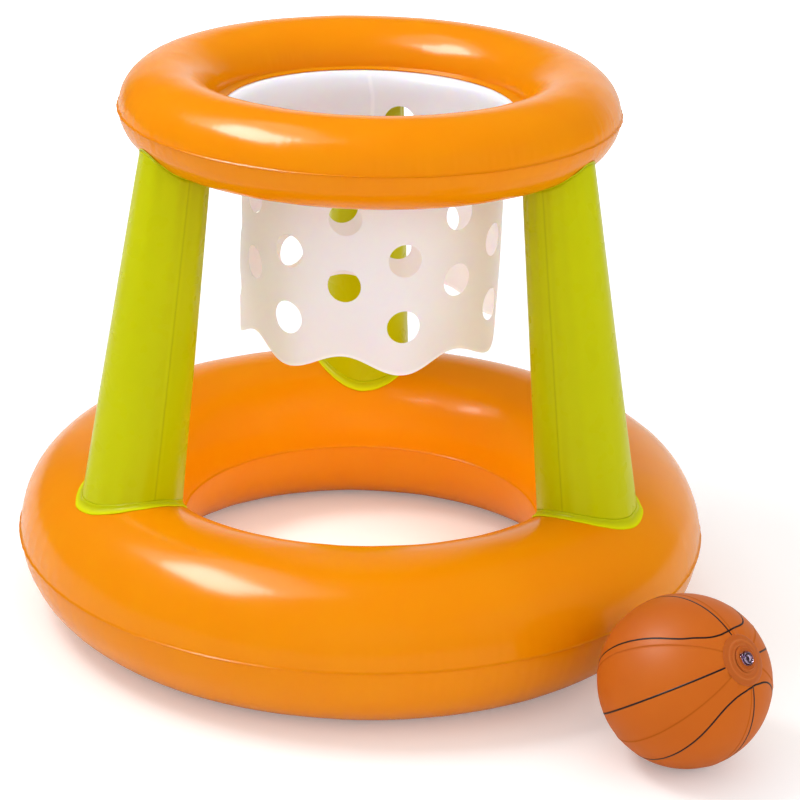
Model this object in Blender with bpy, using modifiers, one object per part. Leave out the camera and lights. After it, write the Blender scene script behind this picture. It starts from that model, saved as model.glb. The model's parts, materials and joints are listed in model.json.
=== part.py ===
"""Floating basketball hoop with its inflatable ball.

Two vinyl rings are joined by three tapered legs. A perforated film net hangs inside the upper ring.
The ball stands beside the base. Each air chamber has a push-in valve with a stopper and a check flap.
Units are metres, +Z is up, and the origin is the middle of the set's footprint on the ground.
"""
import math

import bmesh
import bpy
from mathutils import Matrix, Vector

for old_object in list(bpy.data.objects):
    bpy.data.objects.remove(old_object, do_unlink=True)

# Film and clearances
FILM = 0.0003
GAP = 0.0003
CUT_OVERRUN = 0.01
MERGE_DISTANCE = 0.00001

# Base ring: the floating ring that stands on the ground
BASE_RING_RADIUS = 0.2555
BASE_TUBE_HALF_WIDTH = 0.078
BASE_TUBE_HALF_HEIGHT = 0.0785
BASE_LIP = 0.0015

# Hoop ring: the upper ring that carries the net
HOOP_RING_RADIUS = 0.1895
HOOP_TUBE_HALF_WIDTH = 0.0435
HOOP_TUBE_HALF_HEIGHT = 0.0405
HOOP_LIP = 0.0015
HOOP_SEAM_RISE = 0.4185
NET_FLANGE_WIDTH = 0.0095

# Legs: cones from the middle of the base tube to the middle of the hoop tube
LEG_BEARINGS = {"left": 210, "right": 330, "back": 91}
LEG_FOOT_OUTSETS = {"left": 0, "right": 0, "back": 0.005}
LEG_FOOT_RADIUS = 0.050
LEG_TOP_RADIUS = 0.0315
LEG_TOP_OUTSET = 0.005
FOOT_FLANGE_WIDTH = 0.006
FOOT_FLANGE_THICKNESS = 0.0012
TOP_COLLAR_WIDTH = 0.0025
TOP_COLLAR_THICKNESS = 0.0008
VENT_RADIUS = 0.006

# Net: a film tube with round holes and a scalloped hem
NET_WELD_WIDTH = 0.008
NET_RADIUS = 0.1235
NET_HEM_RADIUS = 0.1215
NET_SHOULDER_DROP = 0.022
NET_LENGTH = 0.213
SCALLOP_DEPTH = 0.016
NET_HOLE_RADIUS = 0.0155
NET_ROW_PITCH = 0.0635
LONG_COLUMN_FIRST_DROP = 0.047
SHORT_COLUMN_FIRST_DROP = 0.0725
NET_FIRST_BEARING = 285
LOBES = 7
LONG_COLUMN_HOLES = 3
SHORT_COLUMN_HOLES = 2

# Ball: six gores, a round patch at each end, and a valve through the patch at its upper end
BALL_RADIUS = 0.0762
BALL_ALONG_X = 0.290
BALL_ALONG_Y = -0.327
BALL_VALVE_BEARING = 316
BALL_VALVE_RISE = 36
BALL_TURN = 52
GORES = 6
PATCH_RADIUS = 0.0226
PATCH_THICKNESS = 0.0005
BALL_OPENING_RADIUS = 0.0106

# Valve: a seat welded to the film, a stem that pushes in, a stopper and a check flap
SEAT_RADIUS = 0.012
SEAT_THICKNESS = 0.0008
NECK_BORE_RADIUS = 0.0053
NECK_WALL = 0.001
NECK_LENGTH = 0.005
STEM_CLEARANCE = 0.0004
STEM_BORE_RADIUS = 0.0033
STEM_LENGTH = 0.016
STEM_RIM_WIDTH = 0.0017
STEM_RIM_THICKNESS = 0.001
STOPPER_RADIUS = 0.005
STOPPER_THICKNESS = 0.0014
SPIGOT_CLEARANCE = 0.0005
SPIGOT_TAPER = 0.0004
SPIGOT_LENGTH = 0.0025
STRAP_WIDTH = 0.003
STRAP_THICKNESS = 0.0008
STRAP_LENGTH = 0.002
HINGE_CLEARANCE = 0.0008
FLAP_RADIUS = 0.0044
FLAP_THICKNESS = 0.0005
BASE_VALVE_BEARING_STEP = 8
HOOP_VALVE_BEARING_STEP = 6

# Facet counts
BASE_STEPS = 48
BASE_ARC_STEPS = 9
HOOP_STEPS = 42
HOOP_ARC_STEPS = 7
LEG_HALF_STEPS = 8
NET_STEPS = 42
NET_HOLE_SIDES = 10
NET_SHOULDER_STEPS = 2
GORE_STEPS = 3
GORE_ARC_STEPS = 7
PATCH_ARC_STEPS = 2
VALVE_STEPS = 14
BASE_VALVE_FACET = 1
HOOP_VALVE_FACET = 1

# Worked out from the sizes above
SEAM_RISE = GAP / 2 + FILM
BASE_FACET_HALF_ANGLE = math.pi / BASE_ARC_STEPS / 2
BASE_SEAM_Z = BASE_TUBE_HALF_HEIGHT * math.cos(BASE_FACET_HALF_ANGLE) + SEAM_RISE
HOOP_SEAM_Z = BASE_SEAM_Z + HOOP_SEAM_RISE
BASE_OUTER_RADIUS = BASE_RING_RADIUS + BASE_TUBE_HALF_WIDTH + BASE_LIP
NET_RIM_RADIUS = HOOP_RING_RADIUS - HOOP_TUBE_HALF_WIDTH - NET_FLANGE_WIDTH
NET_TOP_Z = HOOP_SEAM_Z - SEAM_RISE - GAP - FILM


def new_collection(name, hidden=False):
    made = bpy.data.collections.new(name)
    bpy.context.scene.collection.children.link(made)
    made.hide_render = hidden
    return made


PARTS = new_collection("floating_basketball_hoop")
CUTTERS = new_collection("cutters", hidden=True)


def new_material(name, colour, roughness):
    """A non-metallic Principled material; colour is linear red, green and blue."""
    made = bpy.data.materials.new(name)
    made.use_nodes = True
    shader = made.node_tree.nodes["Principled BSDF"]
    shader.inputs["Base Color"].default_value = (*colour, 1)
    shader.inputs["Roughness"].default_value = roughness
    shader.inputs["Metallic"].default_value = 0
    made.diffuse_color = (*colour, 1)
    return made


ORANGE_VINYL = new_material("orange_vinyl", (0.89, 0.26, 0.01), 0.25)
LIME_VINYL = new_material("lime_vinyl", (0.58, 0.60, 0.0), 0.28)
NET_FILM = new_material("net_film", (0.86, 0.83, 0.82), 0.45)
BALL_VINYL = new_material("ball_vinyl", (0.62, 0.15, 0.02), 0.35)
CLEAR_VINYL = new_material("clear_vinyl", (0.75, 0.62, 0.58), 0.2)


def place(mesh, name, material, parent=None, location=(0, 0, 0)):
    """Link a mesh as a sub-part, under its parent."""
    made = bpy.data.objects.new(name, mesh)
    PARTS.objects.link(made)
    mesh.materials.append(material)
    made.parent = parent
    made.location = location
    return made


def place_cutter(mesh, name, parent=None, location=(0, 0, 0)):
    """Link a mesh as a hidden guide for the Boolean modifiers."""
    made = bpy.data.objects.new(name, mesh)
    CUTTERS.objects.link(made)
    made.parent = parent
    made.location = location
    made.hide_render = True
    made.display_type = "WIRE"
    return made


def new_pivot(name, parent=None, matrix=Matrix()):
    """An empty that carries sub-parts."""
    made = bpy.data.objects.new(name, None)
    PARTS.objects.link(made)
    made.parent = parent
    made.matrix_local = matrix
    return made


def profile_mesh(name, points, closed=False):
    """A line of edges in the XZ plane from (radius, height) points."""
    made = bpy.data.meshes.new(name)
    count = len(points)
    pairs = [(i, (i + 1) % count) for i in range(count if closed else count - 1)]
    made.from_pydata([(x, 0, z) for x, z in points], pairs, [])
    return made


def turn(piece, steps, angle=2 * math.pi):
    """Screw the profile about the object's Z axis."""
    screw = piece.modifiers.new("turn", "SCREW")
    screw.angle = angle
    screw.steps = steps
    screw.render_steps = steps
    screw.use_merge_vertices = True
    screw.merge_threshold = MERGE_DISTANCE
    screw.use_smooth_shade = True


def thicken(piece, thickness, outward=False):
    """Give an open surface its wall, inwards or outwards."""
    wall = piece.modifiers.new("wall", "SOLIDIFY")
    wall.thickness = thickness
    wall.offset = 1 if outward else -1
    wall.use_even_offset = True


def combine(piece, cutter, operation="DIFFERENCE"):
    cut = piece.modifiers.new(cutter.name, "BOOLEAN")
    cut.operation = operation
    cut.object = cutter


def arc(centre_x, centre_z, half_width, half_height, start, end, steps):
    """Points on an ellipse, from one angle to another in degrees."""
    points = []
    for step in range(steps + 1):
        angle = math.radians(start + (end - start) * step / steps)
        points.append((centre_x + half_width * math.cos(angle), centre_z + half_height * math.sin(angle)))
    return points


class Ring:
    """An inflated ring: the sizes of its tube and of the facets that its panels share."""

    def __init__(self, radius, half_width, half_height, seam_z, steps, arc_steps):
        self.radius = radius
        self.half_width = half_width
        self.half_height = half_height
        self.seam_z = seam_z
        self.steps = steps
        self.arc_steps = arc_steps

    def half_section(self, upper, offset=0):
        """Half of the tube's outline: over the top from inside, or under it from outside."""
        start, end, rise = (180, 0, SEAM_RISE) if upper else (0, -180, -SEAM_RISE)
        return arc(self.radius, self.seam_z + rise, self.half_width + offset,
                   self.half_height + offset, start, end, self.arc_steps)

    def envelope(self, name, offset, pivot):
        """A closed cutter that follows the tube at a distance."""
        outline = self.half_section(True, offset) + self.half_section(False, offset)
        cutter = place_cutter(profile_mesh(name, outline, closed=True), name, pivot)
        turn(cutter, self.steps)
        return cutter

    def facet_frame(self, arc_index, bearing_step):
        """The frame on the middle of one facet of the upper panel, Z pointing away from the air."""
        outline = self.half_section(True)
        first, second = outline[-1 - arc_index], outline[-2 - arc_index]
        middle = (Vector(first) + Vector(second)) / 2
        along = Vector(first) - Vector(second)
        step_angle = 2 * math.pi / self.steps
        bearing = (bearing_step + 0.5) * step_angle
        flat_radius = middle.x * math.cos(step_angle / 2)
        tilt = math.atan2(-along.y, along.x)
        return (Matrix.Rotation(bearing, 4, "Z")
                @ Matrix.Translation((flat_radius, 0, middle.y))
                @ Matrix.Rotation(tilt, 4, "Y"))


def panel(name, ring, upper, outer_lip, inner_lip, material, pivot):
    """One film panel of a ring, with the flat weld lips along its two seams."""
    outline = ring.half_section(upper)
    outer, inner = (outline[-1], outline[0]) if upper else (outline[0], outline[-1])
    outer_tip = (outer[0] + outer_lip, outer[1])
    inner_tip = (inner[0] - inner_lip, inner[1])
    ends = (inner_tip, outer_tip) if upper else (outer_tip, inner_tip)
    piece = place(profile_mesh(name, [ends[0], *outline, ends[1]]), name, material, pivot)
    turn(piece, ring.steps)
    thicken(piece, FILM)
    return piece


def leg_frame(bearing, foot_outset):
    """Z along the leg from the base tube's middle to the hoop tube's middle, X away from the axis."""
    foot = Vector((BASE_RING_RADIUS + foot_outset, 0, BASE_SEAM_Z))
    top = Vector((HOOP_RING_RADIUS + LEG_TOP_OUTSET, 0, HOOP_SEAM_Z))
    lean = math.atan2(top.x - foot.x, top.z - foot.z)
    frame = Matrix.Rotation(math.radians(bearing), 4, "Z") @ Matrix.Translation(foot)
    return frame @ Matrix.Rotation(lean, 4, "Y"), (top - foot).length


def leg_wall(offset, length):
    """The side line of the leg's cone, top to bottom."""
    return [(LEG_TOP_RADIUS + offset, length), (LEG_FOOT_RADIUS + offset, 0)]


def leg(side, bearing, pivot, base_clear, hoop_clear, base_over, hoop_over):
    """Two film panels, the foot's weld flange and the collar under the hoop ring."""
    frame, length = leg_frame(bearing, LEG_FOOT_OUTSETS[side])
    carrier = new_pivot(f"leg_{side}", pivot, frame)
    half_gap = GAP / 2
    for half, start in (("outer", -90), ("inner", 90)):
        name = f"leg_{side}_{half}_panel"
        piece = place(profile_mesh(name, leg_wall(0, length)), name, LIME_VINYL, carrier)
        piece.rotation_euler.z = math.radians(start)
        piece.location.x = half_gap if half == "outer" else -half_gap
        turn(piece, LEG_HALF_STEPS, math.pi)
        thicken(piece, FILM)
        combine(piece, base_clear)
        combine(piece, hoop_clear)
    for name, width, over, clear in (
            (f"leg_{side}_foot_flange", FOOT_FLANGE_WIDTH, base_over, base_clear),
            (f"leg_{side}_top_collar", TOP_COLLAR_WIDTH, hoop_over, hoop_clear)):
        piece = place(profile_mesh(name, leg_wall(half_gap + GAP, length)), name, LIME_VINYL, carrier)
        turn(piece, 2 * LEG_HALF_STEPS)
        thicken(piece, width, outward=True)
        combine(piece, over, "INTERSECT")
        combine(piece, clear)


def cut_vents(piece, pivot):
    """Round vents through the hoop's lower panel, one inside the top of each leg."""
    made = bmesh.new()
    depth = 2 * (HOOP_TUBE_HALF_HEIGHT - SEAM_RISE)
    for bearing in LEG_BEARINGS.values():
        spot = Matrix.Rotation(math.radians(bearing), 4, "Z") @ Matrix.Translation(
            (HOOP_RING_RADIUS + LEG_TOP_OUTSET, 0, HOOP_SEAM_Z - HOOP_TUBE_HALF_HEIGHT))
        bmesh.ops.create_cone(made, cap_ends=True, segments=VALVE_STEPS, radius1=VENT_RADIUS,
                              radius2=VENT_RADIUS, depth=depth, matrix=spot)
    mesh = bpy.data.meshes.new("vents")
    made.to_mesh(mesh)
    made.free()
    combine(piece, place_cutter(mesh, "vents", pivot))


def column_bearings():
    """The bearings of the long hole columns and of the short ones between them, in degrees."""
    pitch = 360 / LOBES
    long_columns = [NET_FIRST_BEARING + pitch * lobe for lobe in range(LOBES)]
    return long_columns, [bearing + pitch / 2 for bearing in long_columns]


def net_outline():
    """The film's side line: out on the weld, round the shoulder and down to the hem."""
    outline = [(NET_RIM_RADIUS + NET_WELD_WIDTH, NET_TOP_Z)]
    inset = NET_RIM_RADIUS - NET_RADIUS
    outline += arc(NET_RIM_RADIUS, NET_TOP_Z - NET_SHOULDER_DROP, inset, NET_SHOULDER_DROP, 90, 180,
                   NET_SHOULDER_STEPS)
    outline.append((NET_HEM_RADIUS, NET_TOP_Z - NET_LENGTH))
    return outline


def net(pivot):
    """The net: a turned film tube whose hem falls and rises once for each long hole column."""
    made = bmesh.new()
    corners = [made.verts.new((x, 0, z)) for x, z in net_outline()]
    edges = [made.edges.new(pair) for pair in zip(corners, corners[1:])]
    bmesh.ops.rotate(made, verts=corners, matrix=Matrix.Rotation(math.radians(NET_FIRST_BEARING), 3, "Z"))
    bmesh.ops.spin(made, geom=corners + edges, axis=(0, 0, 1), angle=2 * math.pi, steps=NET_STEPS,
                   use_merge=True)
    hem_z = NET_TOP_Z - NET_LENGTH
    for corner in made.verts:
        if corner.co.z < hem_z + MERGE_DISTANCE:
            bearing = math.atan2(corner.co.y, corner.co.x) - math.radians(NET_FIRST_BEARING)
            corner.co.z -= SCALLOP_DEPTH / 2 * math.cos(LOBES * bearing)
    bmesh.ops.recalc_face_normals(made, faces=made.faces)
    mesh = bpy.data.meshes.new("net_panel")
    made.to_mesh(mesh)
    made.free()
    mesh.shade_smooth()
    piece = place(mesh, "net_panel", NET_FILM, pivot)
    thicken(piece, FILM)
    combine(piece, net_holes(pivot))


def net_holes(pivot):
    """Round cutters through the net's wall, in long and short columns."""
    made = bmesh.new()
    long_columns, short_columns = column_bearings()
    columns = [(bearing, LONG_COLUMN_FIRST_DROP, LONG_COLUMN_HOLES) for bearing in long_columns]
    columns += [(bearing, SHORT_COLUMN_FIRST_DROP, SHORT_COLUMN_HOLES) for bearing in short_columns]
    for bearing, first_drop, count in columns:
        for row in range(count):
            spot = (Matrix.Rotation(math.radians(bearing), 4, "Z")
                    @ Matrix.Translation((NET_RADIUS, 0, NET_TOP_Z - first_drop - NET_ROW_PITCH * row))
                    @ Matrix.Rotation(math.pi / 2, 4, "Y"))
            bmesh.ops.create_cone(made, cap_ends=True, segments=NET_HOLE_SIDES, radius1=NET_HOLE_RADIUS,
                                  radius2=NET_HOLE_RADIUS, depth=2 * CUT_OVERRUN, matrix=spot)
    mesh = bpy.data.meshes.new("net_holes")
    made.to_mesh(mesh)
    made.free()
    return place_cutter(mesh, "net_holes", pivot)


def box_mesh(name, low, high):
    """A box between two corners."""
    made = bmesh.new()
    size = Vector(high) - Vector(low)
    middle = (Vector(high) + Vector(low)) / 2
    bmesh.ops.create_cube(made, size=1, matrix=Matrix.Translation(middle) @ Matrix.Diagonal((*size, 1)))
    mesh = bpy.data.meshes.new(name)
    made.to_mesh(mesh)
    made.free()
    return mesh


def valve(prefix, frame, parent):
    """The seat, the stem inside it, the stopper on the stem's rim and the flap at its inner end."""
    carrier = new_pivot(f"{prefix}_valve", parent, frame)
    neck_radius = NECK_BORE_RADIUS + NECK_WALL
    seat_top = GAP + SEAT_THICKNESS
    seat_outline = [(NECK_BORE_RADIUS, seat_top), (SEAT_RADIUS, seat_top), (SEAT_RADIUS, GAP),
                    (neck_radius, GAP), (neck_radius, GAP - NECK_LENGTH), (NECK_BORE_RADIUS, GAP - NECK_LENGTH)]
    seat = place(profile_mesh(f"{prefix}_valve_seat", seat_outline, closed=True), f"{prefix}_valve_seat",
                 CLEAR_VINYL, carrier)
    turn(seat, VALVE_STEPS)

    # The stem, with the tab that carries the stopper's strap
    stem_radius = NECK_BORE_RADIUS - STEM_CLEARANCE
    rim_radius = stem_radius + STEM_RIM_WIDTH
    rim_low = seat_top + GAP
    rim_top = rim_low + STEM_RIM_THICKNESS
    stem_low = rim_low - STEM_LENGTH
    hinge_x = rim_radius + HINGE_CLEARANCE
    stem_outline = [(STEM_BORE_RADIUS, rim_top), (rim_radius, rim_top), (rim_radius, rim_low),
                    (stem_radius, rim_low), (stem_radius, stem_low), (STEM_BORE_RADIUS, stem_low)]
    stem = place(profile_mesh(f"{prefix}_valve_stem", stem_outline, closed=True), f"{prefix}_valve_stem",
                 CLEAR_VINYL, carrier)
    turn(stem, VALVE_STEPS)
    tab_low = (-hinge_x - STRAP_LENGTH / 2, -STRAP_WIDTH / 2, rim_low)
    tab_high = (-rim_radius + STEM_RIM_WIDTH / 2, STRAP_WIDTH / 2, rim_top)
    tab = place_cutter(box_mesh(f"{prefix}_stem_tab", tab_low, tab_high), f"{prefix}_stem_tab", stem)
    combine(stem, tab, "UNION")

    # The stopper, with its origin on the strap's bending line
    hinge_z = rim_top + GAP + STRAP_THICKNESS / 2
    cap_low = rim_top + GAP - hinge_z
    cap_top = cap_low + STOPPER_THICKNESS
    spigot_radius = STEM_BORE_RADIUS - SPIGOT_CLEARANCE
    stopper_outline = [(0, cap_top), (STOPPER_RADIUS, cap_top), (STOPPER_RADIUS, cap_low),
                       (spigot_radius, cap_low), (spigot_radius - SPIGOT_TAPER, cap_low - SPIGOT_LENGTH),
                       (0, cap_low - SPIGOT_LENGTH)]
    hinge = new_pivot(f"{prefix}_stopper_hinge", stem, Matrix.Translation((-hinge_x, 0, hinge_z)))
    stopper = place(profile_mesh(f"{prefix}_valve_stopper", stopper_outline), f"{prefix}_valve_stopper",
                    CLEAR_VINYL, hinge, (hinge_x, 0, 0))
    turn(stopper, VALVE_STEPS)
    strap_low = (STRAP_THICKNESS / 2, -STRAP_WIDTH / 2, -STRAP_THICKNESS / 2)
    strap_high = (hinge_x - STOPPER_RADIUS / 2, STRAP_WIDTH / 2, STRAP_THICKNESS / 2)
    strap = place_cutter(box_mesh(f"{prefix}_strap", strap_low, strap_high), f"{prefix}_strap", hinge)
    combine(stopper, strap, "UNION")

    # The check flap, hung from the stem's inner end
    flap_hinge = new_pivot(f"{prefix}_flap_hinge", stem, Matrix.Translation((stem_radius, 0, stem_low - GAP)))
    flap_outline = [(0, 0), (FLAP_RADIUS, 0), (FLAP_RADIUS, -FLAP_THICKNESS), (0, -FLAP_THICKNESS)]
    flap = place(profile_mesh(f"{prefix}_valve_flap", flap_outline), f"{prefix}_valve_flap", CLEAR_VINYL,
                 flap_hinge, (-stem_radius, 0, 0))
    turn(flap, VALVE_STEPS)
    return carrier


def cut_valve_bore(piece, prefix, carrier):
    """The round opening in the film round a valve's neck."""
    radius = NECK_BORE_RADIUS + NECK_WALL + GAP
    made = bmesh.new()
    bmesh.ops.create_cone(made, cap_ends=True, segments=VALVE_STEPS, radius1=radius, radius2=radius,
                          depth=2 * NECK_LENGTH)
    mesh = bpy.data.meshes.new(f"{prefix}_bore")
    made.to_mesh(mesh)
    made.free()
    combine(piece, place_cutter(mesh, f"{prefix}_bore", carrier))


def ball_line(radius, first, last, steps):
    """Points on the ball's meridian between two angles in radians, counted from the valve's end."""
    angles = [first + (last - first) * step / steps for step in range(steps + 1)]
    return [(radius * math.sin(angle), radius * math.cos(angle)) for angle in angles]


def ball(pivot):
    """Six gores, the plain end patch, the valve's patch and the valve."""
    opening = math.asin(BALL_OPENING_RADIUS / BALL_RADIUS)
    patch = math.asin(PATCH_RADIUS / BALL_RADIUS)
    tip = BALL_RADIUS * math.cos(opening)
    outline = [(BALL_OPENING_RADIUS, tip),
               *ball_line(BALL_RADIUS, patch, math.pi - patch, GORE_ARC_STEPS),
               (BALL_OPENING_RADIUS, -tip)]
    gore_shift = GAP
    for index in range(GORES):
        name = f"ball_gore_{index + 1}"
        start = 2 * math.pi * index / GORES
        middle = start + math.pi / GORES
        piece = place(profile_mesh(name, outline), name, BALL_VINYL, pivot,
                      (gore_shift * math.cos(middle), gore_shift * math.sin(middle), 0))
        piece.rotation_euler.z = start
        turn(piece, GORE_STEPS, 2 * math.pi / GORES)
        thicken(piece, FILM)
    patch_radius = BALL_RADIUS + gore_shift + GAP
    neck_angle = math.asin((NECK_BORE_RADIUS + NECK_WALL + GAP) / BALL_RADIUS)
    patch_lines = {
        "ball_valve_patch": ball_line(patch_radius, neck_angle, patch, PATCH_ARC_STEPS),
        "ball_end_patch": ball_line(patch_radius, math.pi - patch, math.pi, PATCH_ARC_STEPS)}
    for name, line in patch_lines.items():
        piece = place(profile_mesh(name, line), name, BALL_VINYL, pivot)
        turn(piece, GORES * GORE_STEPS)
        thicken(piece, PATCH_THICKNESS, outward=True)
    crest = (patch_radius + PATCH_THICKNESS) * math.cos(neck_angle)
    valve("ball", Matrix.Translation((0, 0, crest)), pivot)


def footprint_middle():
    """The middle of the rectangle that the base ring and the ball stand in."""
    middle = Vector((0, 0, 0))
    for axis, along in enumerate((BALL_ALONG_X, BALL_ALONG_Y)):
        low = min(-BASE_OUTER_RADIUS, along - BALL_RADIUS)
        high = max(BASE_OUTER_RADIUS, along + BALL_RADIUS)
        middle[axis] = (low + high) / 2
    return middle


def build():
    hoop_axis = new_pivot("hoop_axis", None, Matrix.Translation(-footprint_middle()))
    base = Ring(BASE_RING_RADIUS, BASE_TUBE_HALF_WIDTH, BASE_TUBE_HALF_HEIGHT, BASE_SEAM_Z,
                BASE_STEPS, BASE_ARC_STEPS)
    hoop = Ring(HOOP_RING_RADIUS, HOOP_TUBE_HALF_WIDTH, HOOP_TUBE_HALF_HEIGHT, HOOP_SEAM_Z,
                HOOP_STEPS, HOOP_ARC_STEPS)
    base_top = panel("base_top_panel", base, True, BASE_LIP, BASE_LIP, ORANGE_VINYL, hoop_axis)
    panel("base_bottom_panel", base, False, BASE_LIP, BASE_LIP, ORANGE_VINYL, hoop_axis)
    hoop_top = panel("hoop_top_panel", hoop, True, HOOP_LIP, NET_FLANGE_WIDTH, ORANGE_VINYL, hoop_axis)
    hoop_bottom = panel("hoop_bottom_panel", hoop, False, HOOP_LIP, NET_FLANGE_WIDTH, ORANGE_VINYL,
                        hoop_axis)
    cut_vents(hoop_bottom, hoop_axis)

    guides = (base.envelope("base_clear", GAP, hoop_axis), hoop.envelope("hoop_clear", GAP, hoop_axis),
              base.envelope("base_over", GAP + FOOT_FLANGE_THICKNESS, hoop_axis),
              hoop.envelope("hoop_over", GAP + TOP_COLLAR_THICKNESS, hoop_axis))
    for side, bearing in LEG_BEARINGS.items():
        leg(side, bearing, hoop_axis, *guides)
    net(hoop_axis)

    base_valve = valve("base", base.facet_frame(BASE_VALVE_FACET, BASE_VALVE_BEARING_STEP), hoop_axis)
    cut_valve_bore(base_top, "base", base_valve)
    hoop_valve = valve("hoop", hoop.facet_frame(HOOP_VALVE_FACET, HOOP_VALVE_BEARING_STEP), hoop_axis)
    cut_valve_bore(hoop_top, "hoop", hoop_valve)

    ball_stand = Vector((BALL_ALONG_X, BALL_ALONG_Y, BALL_RADIUS))
    aim = (Matrix.Rotation(math.radians(BALL_VALVE_BEARING), 4, "Z")
           @ Matrix.Rotation(math.pi / 2 - math.radians(BALL_VALVE_RISE), 4, "Y")
           @ Matrix.Rotation(math.radians(BALL_TURN), 4, "Z"))
    ball(new_pivot("ball_middle", hoop_axis, Matrix.Translation(ball_stand) @ aim))


build()
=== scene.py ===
"""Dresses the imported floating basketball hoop: blown film rings and legs, the film net, the ball and its valves."""

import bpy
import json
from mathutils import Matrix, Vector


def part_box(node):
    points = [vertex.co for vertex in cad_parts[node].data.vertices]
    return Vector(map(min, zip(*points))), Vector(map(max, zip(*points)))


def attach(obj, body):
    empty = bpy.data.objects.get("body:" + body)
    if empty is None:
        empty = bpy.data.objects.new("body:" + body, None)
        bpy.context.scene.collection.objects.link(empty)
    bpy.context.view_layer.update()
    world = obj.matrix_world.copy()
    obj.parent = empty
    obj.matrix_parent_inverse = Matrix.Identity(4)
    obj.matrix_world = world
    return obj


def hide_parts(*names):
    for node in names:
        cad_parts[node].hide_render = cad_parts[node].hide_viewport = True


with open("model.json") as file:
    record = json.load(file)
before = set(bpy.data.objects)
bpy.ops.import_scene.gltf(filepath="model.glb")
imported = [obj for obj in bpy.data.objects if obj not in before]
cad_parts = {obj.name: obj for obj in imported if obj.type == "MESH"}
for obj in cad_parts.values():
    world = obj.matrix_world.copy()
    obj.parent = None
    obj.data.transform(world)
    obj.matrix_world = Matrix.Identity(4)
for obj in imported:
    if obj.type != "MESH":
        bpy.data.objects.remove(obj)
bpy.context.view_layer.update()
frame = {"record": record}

import json
import math

import bmesh
import bpy
from mathutils import Matrix, Vector, noise

# Sizes in metres, as in the CAD
FILM = 0.0003
NET_WALL = 0.0004
base_low, base_high = (Vector(corner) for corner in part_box("base_bottom_panel"))
AXIS = Vector(((base_low.x + base_high.x) / 2, (base_low.y + base_high.y) / 2, 0))
BASE = {"Ring Radius": 0.2555, "Half Width": 0.078, "Half Height": 0.0773, "Seam Height": 0.07776}
HOOP = {"Ring Radius": 0.1895, "Half Width": 0.0435, "Half Height": 0.0397, "Seam Height": 0.49626}
WELD_LIP = 0.0015
NET_FLANGE = 0.0095
LEG_BEARINGS = {"left": 210, "right": 330, "back": 91}
LEG_FOOT_OUTSETS = {"left": 0.0, "right": 0.0, "back": 0.005}
LEG_FOOT_RADIUS = 0.050
LEG_TOP_RADIUS = 0.0315
LEG_TOP_OUTSET = 0.005
NET_TOP = 0.4952
NET_RIM_RADIUS = 0.1365
NET_RADIUS = 0.1235
NET_HEM_RADIUS = 0.1215
NET_SHOULDER = 0.022
NET_LENGTH = 0.213
SCALLOP = 0.016
NET_LEAN = 0.0046
NET_FIRST_BEARING = 285
NET_JOINT_BEARING = math.radians(92)
LOBES = 7
BALL_RADIUS = 0.0762
BALL_PATCH_RADIUS = 0.0226
BALL_CREST = 0.07701
GORES = 6
SEAT_RADIUS = 0.012
SEAT_TOP = 0.0011
NECK_RADIUS = 0.0063
NECK_BORE_RADIUS = 0.0053
NECK_LOW = -0.0047
STEM_RADIUS = 0.0049
STEM_BORE_RADIUS = 0.0033
STEM_RIM_RADIUS = 0.0066
STEM_RIM_LOW = 0.0014
STEM_RIM_TOP = 0.0024
STEM_LOW = -0.0146
STOPPER_RADIUS = 0.005
STOPPER_LOW = 0.0027
STOPPER_TOP = 0.0041
SPIGOT_RADIUS = 0.0028
SPIGOT_LOW = 0.0002
FLAP_RADIUS = 0.0044
FLAP_TOP = -0.0149


def linear(text):
    """A linear colour from an sRGB hex value."""
    shares = [int(text[i:i + 2], 16) / 255 for i in (1, 3, 5)]
    return (*(c / 12.92 if c <= 0.04045 else ((c + 0.055) / 1.055) ** 2.4 for c in shares), 1)


def node(tree, kind, values=(), **settings):
    """Add a node with its settings, and set or link its inputs by name or by number."""
    made = tree.nodes.new(kind)
    for field, value in settings.items():
        setattr(made, field, value)
    for key, value in values.items() if isinstance(values, dict) else enumerate(values):
        if isinstance(value, bpy.types.Node):
            value = value.outputs[0]
        if isinstance(value, bpy.types.NodeSocket):
            tree.links.new(value, made.inputs[key])
        else:
            made.inputs[key].default_value = value
    return made


# Materials

def new_material(name, bare=False):
    """A material and its node tree, emptied if it is to be bare."""
    made = bpy.data.materials.new(name)
    made.use_nodes = True
    if bare:
        made.node_tree.nodes.clear()
    return made, made.node_tree


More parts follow.
